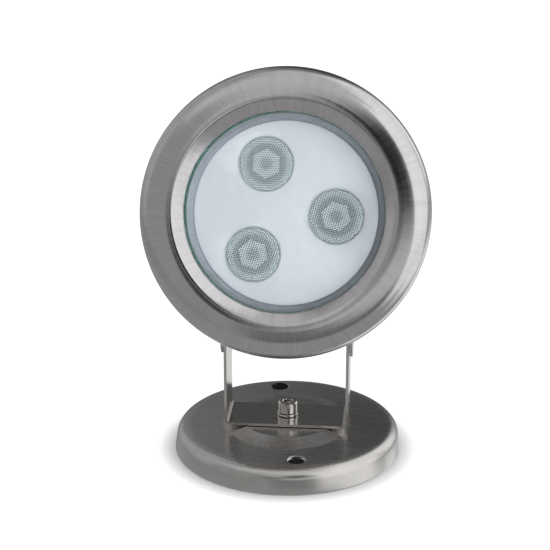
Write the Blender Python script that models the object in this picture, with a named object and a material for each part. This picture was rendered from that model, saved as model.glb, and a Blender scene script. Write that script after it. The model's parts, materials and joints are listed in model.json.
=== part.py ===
"""Underwater pool light: a round stainless lamp head on a strip U-bracket and a domed base.

The base stands on Z = 0 with its axis on +Z. The lamp looks towards -Y, raised by REST_TILT,
and tilts about a pivot line along X. Every size below is in millimetres times MM.

Turned parts are drawn as outlines of (radius, height) points. On the lamp head the height of an
outline is the depth behind the ring's front plane, so a larger depth is further back.
"""
from math import asin, cos, pi, radians, sin, sqrt, tan

import bmesh
import bpy
from mathutils import Vector

MM = 0.001
GAP = 0.25 * MM                 # air between neighbouring pieces
SHEET = 1.2 * MM                # stainless sheet and strip thickness
FINE, COARSE, SMALL = 48, 20, 12    # sides of large, middling and small turned parts

# Base
BASE_RADIUS = 50 * MM
BASE_TURN = radians(9.8)        # the base's two holes against the bracket
SHOULDER_HEIGHT = 10.2 * MM
DECK_HEIGHT = 11.0 * MM         # flat band that carries the mounting holes
DECK_EDGE = 42.6 * MM
BOSS_FOOT_RADIUS = 28.8 * MM
BOSS_RADIUS = 20.7 * MM
BOSS_HEIGHT = 13.2 * MM
FIXING_RADIUS = 38.5 * MM       # mounting holes, from the base axis
FIXING_HOLE = 3.8 * MM

# M5 fasteners
M5_SHANK = 2.45 * MM
M5_CLEAR = 2.75 * MM
M5_NUT_FLATS = 8 * MM
M5_NUT_HEIGHT = 4 * MM
WASHER_THICK = 1.1 * MM

# Bracket
STRAP_WIDTH = 22 * MM
BRACKET_WIDTH = 54.4 * MM       # outside of one arm to outside of the other
BRACKET_BEND = 2.6 * MM         # outer bend radius
PIVOT_HEIGHT = 58 * MM

# Lamp head, from the tilt pivot
REST_TILT = radians(20)
HEAD_RISE = 47.4 * MM           # lamp axis above the pivot line
HEAD_REACH = 47.4 * MM          # front plane ahead of the pivot line
RING_RADIUS = 60.8 * MM
RING_ROLL = ((60.8, 9.6), (60.3, 6.8), (59.3, 4.7), (57.9, 3.2), (56.2, 2.08), (54.4, 1.28), (52.6, 0.8),
             (50.2, 0.4))
RING_CREST = 47.4 * MM          # foremost circle of the ring; the rolled rim falls away outside it
RING_CREASE = 3.3 * MM          # bend radius from the crest into the lip
RING_MOUTH = 41.8 * MM
RING_SKIRT = 16 * MM            # depth of the rolled outer rim
GLASS_RADIUS = 43.6 * MM
GLASS_FRONT = 8.1 * MM
GLASS_THICK = 5 * MM
CAN_RADIUS = 42.4 * MM
CAN_FLANGE_RADIUS = 55 * MM
CAN_FRONT = 14.85 * MM
CAN_REAR = 58 * MM
EAR_WIDTH = 20 * MM
EAR_DROP = 13.5 * MM            # end of the ear below the pivot
STUD_CIRCLE = 50.5 * MM
STUD_ANGLES = (30, 150, 270)    # degrees round the lamp axis
STUD_BORE = 1.8 * MM

# Optics
PLATE_DEPTH = 17.5 * MM
PLATE_RADIUS = 38.5 * MM
# Each lens's distance from the lamp axis, and degrees anticlockwise from the right, seen from the front
LENS_PLACES = ((22 * MM, 113.3), (22 * MM, 233.3), (21 * MM, 357.3))
LENS_RADIUS = 11.5 * MM
LENS_FRONT = 16 * MM
LENS_REAR = 29.5 * MM
LENS_SEAT = 18.8 * MM           # underside of the lens flange's holder
LED_RADIUS = 2.9 * MM
STAR_FLATS = 20 * MM
STAR_FRONT = 31.5 * MM
HEAT_FRONT = 33.35 * MM
HEAT_BACK = 36.35 * MM
HEAT_RADIUS = 40.6 * MM
WIRE_HOLE = 4 * MM              # hole in the middle of the heat plate
WIRE_RADIUS = 0.7 * MM

# Driver
BOARD_SIZE = (48 * MM, 38 * MM)
BOARD_FRONT = 46.0 * MM
BOARD_THICK = 1.6 * MM
SPACER_RADIUS = 2.5 * MM

# Cable gland
GLAND_THREAD = 6 * MM
GLAND_BORE = 3.9 * MM
GLAND_NUT_RADIUS = 9 * MM
GLAND_END = 75 * MM

STEEL = ("brushed_stainless", (0.53, 0.52, 0.50), 1.0, 0.32)
BOLT_STEEL = ("bolt_steel", (0.66, 0.65, 0.63), 1.0, 0.2)
GLASS = ("tempered_glass", (0.72, 0.86, 0.83), 0.0, 0.05)
ACRYLIC = ("lens_acrylic", (0.8, 0.86, 0.86), 0.0, 0.05)
RUBBER = ("black_rubber", (0.03, 0.03, 0.03), 0.0, 0.7)
SILICONE = ("pale_silicone", (0.62, 0.68, 0.68), 0.0, 0.4)
SATIN = ("satin_plate", (0.72, 0.76, 0.82), 0.3, 0.4)
BLACK_PLASTIC = ("black_plastic", (0.04, 0.04, 0.04), 0.0, 0.5)
WHITE_PLASTIC = ("white_plastic", (0.72, 0.74, 0.74), 0.0, 0.4)
ALUMINIUM = ("aluminium", (0.75, 0.75, 0.76), 1.0, 0.4)
BRASS = ("brass", (0.72, 0.55, 0.27), 1.0, 0.3)
BOARD_GREEN = ("board_green", (0.05, 0.25, 0.12), 0.0, 0.5)
LED_YELLOW = ("led_phosphor", (0.85, 0.75, 0.25), 0.0, 0.4)
COIL = ("coil_ferrite", (0.12, 0.12, 0.12), 0.0, 0.6)
CAPACITOR = ("capacitor_sleeve", (0.05, 0.06, 0.2), 0.0, 0.4)
WIRE_RED = ("wire_red", (0.6, 0.04, 0.03), 0.0, 0.5)
WIRE_BLACK = ("wire_black", (0.03, 0.03, 0.03), 0.0, 0.5)


# ---------------------------------------------------------------- helpers

def clear_scene():
    for item in list(bpy.data.objects):
        bpy.data.objects.remove(item, do_unlink=True)


def material(name, colour, metallic, roughness):
    found = bpy.data.materials.get(name)
    if found:
        return found
    made = bpy.data.materials.new(name)
    made.use_nodes = True
    shader = made.node_tree.nodes["Principled BSDF"]
    shader.inputs["Base Color"].default_value = (*colour, 1.0)
    shader.inputs["Metallic"].default_value = metallic
    shader.inputs["Roughness"].default_value = roughness
    made.diffuse_color = (*colour, 1.0)
    return made


def empty(name, parent=None, location=(0, 0, 0), rotation=(0, 0, 0)):
    made = bpy.data.objects.new(name, None)
    made.parent = parent
    made.location = location
    made.rotation_euler = rotation
    bpy.context.scene.collection.objects.link(made)
    return made


def add_object(name, bm, look=None, parent=None, location=(0, 0, 0), rotation=(0, 0, 0)):
    """Turn a bmesh into an object. Without a look it is a hidden cutter."""
    bmesh.ops.recalc_face_normals(bm, faces=bm.faces)
    mesh = bpy.data.meshes.new(name)
    bm.to_mesh(mesh)
    bm.free()
    made = bpy.data.objects.new(name, mesh)
    made.parent = parent
    made.location = location
    made.rotation_euler = rotation
    bpy.context.scene.collection.objects.link(made)
    if look:
        mesh.materials.append(material(*look))
        mesh.shade_smooth()
        mesh.set_sharp_from_angle(angle=radians(35))
    else:
        made.hide_render = True
        made.display_type = "WIRE"
    return made


def boolean(target, tool, operation="DIFFERENCE"):
    modifier = target.modifiers.new(tool.name, "BOOLEAN")
    modifier.operation = operation
    modifier.object = tool


def arc(centre, radius, start, end, steps):
    """Points on an arc; the angles are in degrees."""
    angles = [radians(start + (end - start) * step / steps) for step in range(steps + 1)]
    return [(centre[0] + radius * cos(angle), centre[1] + radius * sin(angle)) for angle in angles]


def round_corner(before, corner, after, radius, steps=3):
    """Points of the arc that rounds one corner of an open path."""
    corner = Vector(corner)
    back = (Vector(before) - corner).normalized()
    ahead = (Vector(after) - corner).normalized()
    half = back.angle(ahead) / 2
    centre = corner + (back + ahead).normalized() * radius / sin(half)
    start = corner + back * radius / tan(half) - centre
    end = corner + ahead * radius / tan(half) - centre
    turns = [start.slerp(end, step / steps).normalized() for step in range(steps + 1)]
    return [tuple(centre + turn * radius) for turn in turns]


def thicken(path, thickness):
    """Closed outline of a sheet whose face follows the path; the sheet lies to the path's right."""
    points = [Vector(point) for point in path]
    runs = [(after - before).normalized() for before, after in zip(points, points[1:])]
    normals = [Vector((run.y, -run.x)) for run in runs]
    back = [points[0] + normals[0] * thickness]
    for point, first, second in zip(points[1:-1], normals, normals[1:]):
        mitre = first + second
        back.append(point + mitre * thickness * 2 / mitre.length_squared)
    back.append(points[-1] + normals[-1] * thickness)
    return [tuple(point) for point in points + back[::-1]]


def turned_mesh(outline, sides, sweep=360):
    """Spin an outline of (radius, height) points about Z. A part turn gets flat end caps."""
    bm = bmesh.new()
    verts = [bm.verts.new((radius, 0, height)) for radius, height in outline]
    edges = [bm.edges.new(pair) for pair in zip(verts, verts[1:] + verts[:1])]
    geometry = verts + edges
    if sweep < 360:
        geometry.append(bm.faces.new(verts))
    bmesh.ops.spin(bm, geom=geometry, cent=(0, 0, 0), axis=(0, 0, 1), angle=radians(sweep),
                   steps=sides, use_duplicate=False, use_merge=False)
    if sweep == 360:
        bmesh.ops.remove_doubles(bm, verts=bm.verts, dist=0.0005 * MM)
        lone = [edge for edge in bm.edges if not edge.link_faces]
        bmesh.ops.delete(bm, geom=lone, context="EDGES")
    return bm


def turned(name, outline, look=None, parent=None, sides=FINE, sweep=360, **place):
    return add_object(name, turned_mesh(outline, sides, sweep), look, parent, **place)


def tube_outline(inner, outer, low, high):
    return [(inner, low), (outer, low), (outer, high), (inner, high)]


def prism_mesh(outline, low, high):
    """Extrude a flat outline of (x, y) points from z = low to z = high."""
    bm = bmesh.new()
    face = bm.faces.new([bm.verts.new((x, y, low)) for x, y in outline])
    grown = bmesh.ops.extrude_face_region(bm, geom=[face])
    moved = [item for item in grown["geom"] if isinstance(item, bmesh.types.BMVert)]
    bmesh.ops.translate(bm, verts=moved, vec=(0, 0, high - low))
    return bm


def prism(name, outline, low, high, look=None, parent=None, **place):
    return add_object(name, prism_mesh(outline, low, high), look, parent, **place)


def polygon(radius, sides, turn=0.0):
    step = 2 * pi / sides
    return [(radius * cos(turn + step * side), radius * sin(turn + step * side)) for side in range(sides)]


def hexagon(flats):
    return polygon(flats / sqrt(3), 6)


def rectangle(width, height, centre=(0, 0)):
    x, y = centre
    return [(x - width / 2, y - height / 2), (x + width / 2, y - height / 2),
            (x + width / 2, y + height / 2), (x - width / 2, y + height / 2)]


def drill(target, radius, low, high, parent=None, sides=SMALL, **place):
    """Cut a round hole along the local Z of the place given."""
    name = f"{target.name}_drill_{len(target.modifiers)}"
    boolean(target, prism(name, polygon(radius, sides), low, high, parent=parent, **place))


def wire(name, points, look, parent):
    """Insulated wire along a smooth curve through the points."""
    curve = bpy.data.curves.new(name, "CURVE")
    curve.dimensions = "3D"
    curve.resolution_u = 4
    curve.render_resolution_u = 0
    curve.bevel_depth = WIRE_RADIUS
    curve.bevel_resolution = 1
    curve.use_fill_caps = True
    spline = curve.splines.new("BEZIER")
    spline.bezier_points.add(len(points) - 1)
    for knot, point in zip(spline.bezier_points, points):
        knot.co = point
        knot.handle_left_type = knot.handle_right_type = "AUTO"
    curve.materials.append(material(*look))
    made = bpy.data.objects.new(name, curve)
    made.parent = parent
    bpy.context.scene.collection.objects.link(made)


# ---------------------------------------------------------------- fasteners

def cap_screw(name, parent, seat, length, **place):
    """M5 socket-head cap screw whose head stands on z = seat."""
    head_radius, head_height, chamfer = 4.25 * MM, 4.9 * MM, 0.5 * MM
    top = seat + head_height
    outline = [(0, seat - length), (M5_SHANK - chamfer, seat - length),
               (M5_SHANK, seat - length + chamfer), (M5_SHANK, seat), (head_radius, seat),
               (head_radius, top - chamfer), (head_radius - chamfer, top), (0, top)]
    screw = turned(name, outline, BOLT_STEEL, parent, COARSE, **place)
    cut_socket(screw, hexagon(4 * MM), top, 2.5 * MM, parent, **place)


def button_screw(name, parent, seat, length, radius, height, shank, socket, **place):
    """Screw with a low domed head that stands on z = seat."""
    top = seat + height
    crown = [(radius * x, seat + height * y) for x, y in arc((0, 0), 1, 20, 75, 3)]
    outline = [(0, seat - length), (shank, seat - length), (shank, seat), (radius, seat), *crown,
               (0, top)]
    screw = turned(name, outline, BOLT_STEEL, parent, SMALL, **place)
    cut_socket(screw, hexagon(socket), top, height * 0.6, parent, **place)


def cut_socket(screw, outline, top, depth, parent, **place):
    tool = prism(f"{screw.name}_socket", outline, top - depth, top + MM, parent=parent, **place)
    boolean(screw, tool)


def split_washer(name, parent, low, **place):
    """Spring lock washer with its narrow slot."""
    outline = tube_outline(M5_CLEAR, 4.6 * MM, low, low + WASHER_THICK)
    turned(name, outline, BOLT_STEEL, parent, COARSE, sweep=350, **place)


def hex_nut(name, parent, flats, low, high, bore, look=BOLT_STEEL, **place):
    nut = prism(name, hexagon(flats), low, high, look, parent, **place)
    drill(nut, bore, low - MM, high + MM, parent, **place)


# ---------------------------------------------------------------- base

def build_base(axis):
    rim = (BASE_RADIUS, 0.8 * MM)
    shoulder = round_corner(rim, (48.8 * MM, SHOULDER_HEIGHT), (DECK_EDGE, DECK_HEIGHT), 5 * MM, 4)
    path = [(M5_CLEAR, BOSS_HEIGHT), (BOSS_RADIUS - 0.8 * MM, BOSS_HEIGHT),
            (BOSS_RADIUS, BOSS_HEIGHT - 0.3 * MM), (BOSS_FOOT_RADIUS - MM, DECK_HEIGHT + 0.55 * MM),
            (BOSS_FOOT_RADIUS, DECK_HEIGHT + 0.35 * MM), (34 * MM, DECK_HEIGHT),
            (DECK_EDGE, DECK_HEIGHT), *shoulder[::-1], rim, (BASE_RADIUS, 0)]
    cover = turned("base_cover", thicken(path, SHEET), STEEL, axis)
    for side in (-1, 1):
        drill(cover, FIXING_HOLE, 0, 20 * MM, axis, location=(0, side * FIXING_RADIUS, 0))


def build_swivel(axis):
    strap_top = BOSS_HEIGHT + GAP + SHEET
    washer_low = strap_top + GAP
    split_washer("swivel_lock_washer", axis, washer_low)
    cap_screw("swivel_screw", axis, washer_low + WASHER_THICK + GAP, 11 * MM)
    sheet_underside = BOSS_HEIGHT - SHEET
    flat = tube_outline(M5_CLEAR, 5 * MM, sheet_underside - GAP - MM, sheet_underside - GAP)
    turned("swivel_flat_washer", flat, BOLT_STEEL, axis, COARSE)
    nut_top = sheet_underside - 2 * GAP - MM
    hex_nut("swivel_nut", axis, M5_NUT_FLATS, nut_top - M5_NUT_HEIGHT, nut_top, M5_CLEAR)


# ---------------------------------------------------------------- bracket

def build_bracket(axis):
    half = BRACKET_WIDTH / 2
    floor = BOSS_HEIGHT + GAP
    reach = PIVOT_HEIGHT + STRAP_WIDTH / 2
    corner_left = round_corner((-half, reach), (-half, floor), (half, floor), BRACKET_BEND)
    corner_right = [(-x, z) for x, z in corner_left[::-1]]
    path = [(half, reach), *corner_right[::-1], *corner_left[::-1], (-half, reach)]
    section = thicken(path, SHEET)
    stand_up = (pi / 2, 0, 0)
    strip = prism("u_bracket", section, -STRAP_WIDTH, STRAP_WIDTH, STEEL, axis, rotation=stand_up)
    tip = arc((0, PIVOT_HEIGHT), STRAP_WIDTH / 2, 0, 180, 16)
    side_view = [(-STRAP_WIDTH / 2, 0), (STRAP_WIDTH / 2, 0), *tip]
    trim = prism("u_bracket_outline", side_view, -BRACKET_WIDTH, BRACKET_WIDTH, parent=axis,
                 rotation=(pi / 2, 0, pi / 2))
    boolean(strip, trim, "INTERSECT")
    drill(strip, M5_CLEAR, 0, 30 * MM, axis)
    drill(strip, M5_CLEAR, -BRACKET_WIDTH, BRACKET_WIDTH, axis, location=(0, 0, PIVOT_HEIGHT),
          rotation=(0, pi / 2, 0))


def build_pivots(axis):
    """Screw, washer and nut of each tilt pivot, along the local X through the pivot empty."""
    arm = BRACKET_WIDTH / 2
    ear_outside = arm + GAP + SHEET
    for side, name in ((-1, "left"), (1, "right")):
        place = {"rotation": (0, side * pi / 2, 0), "location": (0, 0, PIVOT_HEIGHT)}
        split_washer(f"pivot_washer_{name}", axis, ear_outside + GAP, **place)
        button_screw(f"pivot_screw_{name}", axis, ear_outside + 2 * GAP + WASHER_THICK, 10 * MM,
                     4.5 * MM, 2.75 * MM, M5_SHANK, 3 * MM, **place)
        nut_top = arm - SHEET - GAP
        hex_nut(f"pivot_nut_{name}", axis, M5_NUT_FLATS, nut_top - M5_NUT_HEIGHT, nut_top,
                M5_CLEAR, **place)


# ---------------------------------------------------------------- lamp housing

def build_ring(axis):
    crease = arc((RING_CREST, RING_CREASE), RING_CREASE, -81, -130, 5)
    path = [(RING_RADIUS, RING_SKIRT), *[(radius * MM, depth * MM) for radius, depth in RING_ROLL], *crease,
            (RING_MOUTH + 0.4 * MM, 3.37 * MM), (RING_MOUTH, 4.1 * MM), (RING_MOUTH, 7 * MM)]
    turned("front_ring", thicken(path, SHEET), STEEL, axis)


def build_glass(axis):
    back = GLASS_FRONT + GLASS_THICK
    bevel = 0.5 * MM
    outline = [(0, GLASS_FRONT), (GLASS_RADIUS - bevel, GLASS_FRONT), (GLASS_RADIUS, GLASS_FRONT + bevel),
               (GLASS_RADIUS, back - bevel), (GLASS_RADIUS - bevel, back), (0, back)]
    turned("front_glass", outline, GLASS, axis)
    lip, outside, inside = 41.2 * MM, 45.4 * MM, GLASS_RADIUS + GAP
    gasket = [(43.3 * MM, 4.5 * MM), (outside, 2.75 * MM), (outside, CAN_FRONT - GAP),
              (lip, CAN_FRONT - GAP), (lip, back + GAP), (inside, back + GAP),
              (inside, GLASS_FRONT - GAP), (43.3 * MM, GLASS_FRONT - GAP)]
    turned("glass_gasket", gasket, SILICONE, axis)


def build_can(axis):
    rear_corner = round_corner((CAN_RADIUS, CAN_FRONT), (CAN_RADIUS, CAN_REAR), (0, CAN_REAR), 4 * MM)
    front_corner = round_corner((CAN_FLANGE_RADIUS, CAN_FRONT + SHEET), (CAN_RADIUS, CAN_FRONT + SHEET),
                                (CAN_RADIUS, CAN_REAR), 1.5 * MM, 2)
    path = [(CAN_FLANGE_RADIUS, CAN_FRONT + SHEET), *front_corner, *rear_corner,
            (GLAND_THREAD + GAP, CAN_REAR)]
    can = turned("lamp_can", thicken(path, -SHEET), STEEL, axis)
    for _, spot in stud_spots():
        drill(can, STUD_BORE, CAN_FRONT - MM, CAN_FRONT + 3 * MM, axis, location=spot)


def stud_spots():
    return [(index, Vector((STUD_CIRCLE * cos(radians(angle)), STUD_CIRCLE * sin(radians(angle)), 0)))
            for index, angle in enumerate(STUD_ANGLES, 1)]


def build_ring_fixings(axis):
    """Threaded studs behind the ring, and the screws that pull the can's flange to them."""
    stud = tube_outline(STUD_BORE, 3 * MM, 2.45 * MM, CAN_FRONT - GAP)
    for index, spot in stud_spots():
        turned(f"ring_stud_{index}", stud, BOLT_STEEL, axis, SMALL, location=spot)
        button_screw(f"ring_screw_{index}", axis, CAN_FRONT + SHEET + GAP, 8 * MM, 2.75 * MM,
                     1.8 * MM, 1.5 * MM, 2 * MM, location=spot)


def build_ears(pivot):
    """Strips welded to the can that hang down outside the bracket's arms.

    Each is drawn in the plane across the lamp, bent round the can above and straight below.
    """
    inside = BRACKET_WIDTH / 2 + GAP
    wall = CAN_RADIUS + GAP
    leave = asin((inside + SHEET) / (wall + SHEET))
    foot_end = radians(60)
    steps = 5
    foot = [((wall + SHEET) * sin(angle), HEAD_RISE - (wall + SHEET) * cos(angle))
            for angle in (leave + (foot_end - leave) * step / steps for step in range(1, steps + 1))]
    outside = inside + SHEET
    knee = (outside, HEAD_RISE - (wall + SHEET) * cos(leave))
    bend = round_corner((outside, 0), knee, foot[0], 1.5 * MM, 3)
    path = [(outside, -2 * EAR_DROP), *bend, *foot]
    section = thicken(path, -SHEET)
    end = arc((0, EAR_WIDTH / 2 - EAR_DROP), EAR_WIDTH / 2, 180, 360, 16)
    side_view = [*end, (EAR_WIDTH / 2, HEAD_RISE), (-EAR_WIDTH / 2, HEAD_RISE)]
    for side, name in ((-1, "left"), (1, "right")):
        outline = [(side * x, y) for x, y in section]
        ear = prism(f"ear_{name}", outline, -EAR_WIDTH, EAR_WIDTH, STEEL, pivot)
        trim = prism(f"ear_{name}_outline", side_view, -80 * MM, 80 * MM, parent=pivot,
                     rotation=(0, pi / 2, 0))
        boolean(ear, trim, "INTERSECT")
        drill(ear, M5_CLEAR, -80 * MM, 80 * MM, pivot, rotation=(0, pi / 2, 0))


# ---------------------------------------------------------------- optics

def lens_spots():
    """Number, place and angle of each lens. Seen from behind, the angles run the other way."""
    places = [(reach, pi - radians(angle)) for reach, angle in LENS_PLACES]
    return [(index, Vector((reach * cos(turn), reach * sin(turn), 0)), turn)
            for index, (reach, turn) in enumerate(places, 1)]


def build_plate(axis):
    rim_front = CAN_FRONT + GAP / 2
    path = [(0, PLATE_DEPTH), (PLATE_RADIUS, PLATE_DEPTH), (39.9 * MM, rim_front)]
    plate = turned("baffle_plate", thicken(path, -MM), SATIN, axis)
    for _, spot, _ in lens_spots():
        drill(plate, LENS_RADIUS + 0.5 * MM, PLATE_DEPTH - MM, PLATE_DEPTH + 3 * MM, axis, COARSE,
              location=spot)


def build_lens(index, spot, axis):
    cavity = LED_RADIUS + 0.4 * MM
    neck = 4.8 * MM
    flange_back = LENS_FRONT + 1.8 * MM
    outline = [(0, LENS_FRONT), (LENS_RADIUS, LENS_FRONT), (LENS_RADIUS, flange_back),
               (LENS_RADIUS - MM, flange_back), (9.4 * MM, 21.5 * MM), (7.4 * MM, 25.5 * MM),
               (neck, LENS_REAR), (cavity, LENS_REAR), (cavity, 27.2 * MM), (0, 26.6 * MM)]
    turned(f"lens_{index}", outline, ACRYLIC, axis, COARSE, location=spot)
    holder = [(12.2 * MM, LENS_SEAT), (12.2 * MM, 20.3 * MM), (8.4 * MM, 26.5 * MM),
              (7.6 * MM, STAR_FRONT - GAP), (5.6 * MM, STAR_FRONT - GAP), (5.6 * MM, 29 * MM),
              (7.9 * MM, 25.5 * MM), (10.3 * MM, 20.3 * MM), (10.9 * MM, LENS_SEAT)]
    turned(f"lens_holder_{index}", holder, WHITE_PLASTIC, axis, COARSE, location=spot)


def build_led(index, spot, angle, axis):
    front, board_gap = 27.6 * MM, STAR_FRONT - GAP
    dome = [(LED_RADIUS * x, front + 1.4 * MM * (1 - y)) for x, y in arc((0, 0), 1, 90, 15, 4)]
    outline = [*dome, (LED_RADIUS, 29.2 * MM), (LED_RADIUS, board_gap), (0, board_gap)]
    turned(f"led_{index}", outline, LED_YELLOW, axis, SMALL, location=spot)
    prism(f"star_board_{index}", hexagon(STAR_FLATS), STAR_FRONT, STAR_FRONT + 1.6 * MM, ALUMINIUM,
          axis, location=spot, rotation=(0, 0, angle + pi / 6))


def build_heat_plate(axis):
    outline = tube_outline(WIRE_HOLE, HEAT_RADIUS, HEAT_FRONT, HEAT_BACK)
    turned("heat_plate", outline, ALUMINIUM, axis)


def pad(index, turn):
    """Solder pad on a star board, at an angle in degrees from the line to the lamp axis."""
    _, spot, angle = lens_spots()[index - 1]
    away = angle + pi + radians(turn)
    return spot + Vector((cos(away), sin(away), 0)) * 9.3 * MM


def build_wires(axis):
    """Internal wires: two from the driver up through the heat plate, two between the boards."""
    above = STAR_FRONT - GAP - WIRE_RADIUS
    for name, look, index, side in (("led_lead_positive", WIRE_RED, 1, 1),
                                    ("led_lead_negative", WIRE_BLACK, 3, -1)):
        landing = pad(index, 0)
        inwards = landing * (3.5 * MM / landing.length)
        points = [(side * 3 * MM, side * MM, BOARD_FRONT - GAP - MM),
                  (side * 2 * MM, side * MM, HEAT_BACK + 2 * MM),
                  (inwards.x * 0.6, inwards.y * 0.6, HEAT_FRONT - MM),
                  (landing.x * 0.6, landing.y * 0.6, above - MM), (landing.x, landing.y, above)]
        wire(name, points, look, axis)
    for first, second in ((1, 2), (2, 3)):
        start, end = pad(first, 40), pad(second, -40)
        middle = (start + end) * 0.5
        points = [(start.x, start.y, above), (middle.x, middle.y, above - MM), (end.x, end.y, above)]
        wire(f"led_link_{first}_{second}", points, WIRE_RED, axis)


# ---------------------------------------------------------------- driver and gland

def build_driver(axis):
    width, height = BOARD_SIZE
    prism("driver_board", rectangle(width, height), BOARD_FRONT, BOARD_FRONT + BOARD_THICK,
          BOARD_GREEN, axis)
    corners = [(x * (width / 2 - 4 * MM), y * (height / 2 - 4 * MM)) for x in (-1, 1) for y in (-1, 1)]
    for index, (x, y) in enumerate(corners, 1):
        spacer = tube_outline(1.3 * MM, SPACER_RADIUS, HEAT_BACK + GAP, BOARD_FRONT - GAP)
        turned(f"driver_spacer_{index}", spacer, BRASS, axis, SMALL, location=(x, y, 0))
    top, seat = BOARD_FRONT - GAP - 7 * MM, BOARD_FRONT - GAP
    bobbin = [(0, top), (5 * MM, top), (5 * MM, top + MM), (3.6 * MM, top + 1.6 * MM),
              (3.6 * MM, seat - 1.6 * MM), (5 * MM, seat - MM), (5 * MM, seat), (0, seat)]
    turned("driver_inductor", bobbin, COIL, axis, SMALL, location=(-11 * MM, 0, 0))
    can = [(0, top + MM), (3.6 * MM, top + MM), (4 * MM, top + 1.4 * MM), (4 * MM, seat), (0, seat)]
    turned("driver_capacitor", can, CAPACITOR, axis, SMALL, location=(11 * MM, 7 * MM, 0))
    prism("driver_rectifier", rectangle(8 * MM, 6 * MM), seat - 2.5 * MM, seat, BLACK_PLASTIC, axis,
          location=(11 * MM, -7 * MM, 0))


def build_gland(axis):
    """Cable gland on the can's rear: flange, O-ring, inner lock nut, rubber bush and cap nut."""
    ring = [(6.9 * MM + x, CAN_REAR + 0.95 * MM + z) for x, z in arc((0, 0), 0.7 * MM, 0, 360, 8)[:-1]]
    turned("gland_o_ring", ring, RUBBER, axis, COARSE)
    flange_front = CAN_REAR + 2 * MM
    flange_back = flange_front + 3 * MM
    body = [(GLAND_BORE, 52.4 * MM), (GLAND_THREAD, 52.4 * MM), (GLAND_THREAD, flange_front),
            (9.2 * MM, flange_front), (9.2 * MM, flange_back), (GLAND_THREAD, flange_back),
            (GLAND_THREAD, 69 * MM), (GLAND_BORE, 69 * MM)]
    turned("gland_body", body, BOLT_STEEL, axis, COARSE)
    inner_face = CAN_REAR - SHEET
    hex_nut("gland_lock_nut", axis, 17 * MM, inner_face - GAP - 3.2 * MM, inner_face - GAP,
            GLAND_THREAD + GAP)
    bush = tube_outline(3.6 * MM, 5.8 * MM, 69 * MM + GAP, 73.2 * MM)
    turned("gland_seal", bush, RUBBER, axis, COARSE)
    inside, mouth = GLAND_THREAD + GAP, 4.5 * MM
    cap = [(inside, flange_back + GAP), (GLAND_NUT_RADIUS, flange_back + GAP),
           (GLAND_NUT_RADIUS, 71.5 * MM), (7.6 * MM, 74 * MM), (6.2 * MM, GLAND_END),
           (mouth, GLAND_END), (mouth, 73.2 * MM + GAP), (inside, 73.2 * MM + GAP)]
    turned("gland_nut", cap, BOLT_STEEL, axis, COARSE)


# ---------------------------------------------------------------- assembly

def main():
    clear_scene()
    base_axis = empty("base_axis", rotation=(0, 0, BASE_TURN))
    swivel_axis = empty("swivel_axis")
    tilt_pivot = empty("tilt_pivot", swivel_axis, (0, 0, PIVOT_HEIGHT), (pi / 2 - REST_TILT, 0, 0))
    lamp_axis = empty("lamp_axis", tilt_pivot, (0, HEAD_RISE, HEAD_REACH), (0, pi, 0))

    build_base(base_axis)
    build_swivel(swivel_axis)
    build_bracket(swivel_axis)
    build_pivots(swivel_axis)
    build_ears(tilt_pivot)
    build_ring(lamp_axis)
    build_glass(lamp_axis)
    build_can(lamp_axis)
    build_ring_fixings(lamp_axis)
    build_plate(lamp_axis)
    for index, spot, angle in lens_spots():
        build_lens(index, spot, lamp_axis)
        build_led(index, spot, angle, lamp_axis)
    build_heat_plate(lamp_axis)
    build_driver(lamp_axis)
    build_wires(lamp_axis)
    build_gland(lamp_axis)


main()
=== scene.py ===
"""Looks of the underwater pool light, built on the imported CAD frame.

Lengths are in metres, written as millimetres times MM. Pieces of the lamp head are drawn in the
lamp's own frame: Z is the depth behind the ring's front plane, Y is up across the lamp.
"""
import json
from math import asin, atan2, cos, pi, radians, sin, sqrt, tan

import bmesh
import bpy
from mathutils import Matrix, Vector, geometry


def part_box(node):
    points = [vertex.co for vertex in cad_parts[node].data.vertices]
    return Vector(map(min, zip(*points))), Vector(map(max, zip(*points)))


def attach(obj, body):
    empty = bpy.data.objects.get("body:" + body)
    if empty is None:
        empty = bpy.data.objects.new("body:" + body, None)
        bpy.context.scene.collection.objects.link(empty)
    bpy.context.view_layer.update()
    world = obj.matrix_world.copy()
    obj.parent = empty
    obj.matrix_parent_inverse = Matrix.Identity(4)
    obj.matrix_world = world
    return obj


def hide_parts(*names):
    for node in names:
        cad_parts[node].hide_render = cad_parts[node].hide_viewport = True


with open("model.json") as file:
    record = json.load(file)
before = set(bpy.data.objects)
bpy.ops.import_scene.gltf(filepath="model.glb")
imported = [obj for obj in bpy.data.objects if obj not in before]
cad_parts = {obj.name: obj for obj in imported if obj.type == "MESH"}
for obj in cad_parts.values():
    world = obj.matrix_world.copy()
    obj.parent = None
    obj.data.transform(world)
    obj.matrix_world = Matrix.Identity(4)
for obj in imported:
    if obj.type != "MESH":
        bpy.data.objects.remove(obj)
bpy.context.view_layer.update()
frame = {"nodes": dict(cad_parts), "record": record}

MM = 0.001
GAP = 0.25 * MM
SHEET = 1.2 * MM
EDGE = 0.16 * MM                # softened edges of sheets and small pieces
ROUND, MEDIUM, FINE = 256, 96, 48

# Base
BASE_RADIUS = 50 * MM
BASE_TURN = radians(9.8)
SHOULDER_HEIGHT = 10.2 * MM
DECK_HEIGHT = 11.0 * MM
DECK_EDGE = 42.6 * MM
BOSS_FOOT = 28.8 * MM
BOSS_RADIUS = 20.7 * MM
BOSS_HEIGHT = 13.2 * MM
FIXING_HOLE = 3.8 * MM
FIXING_RADIUS = 38.5 * MM

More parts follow.
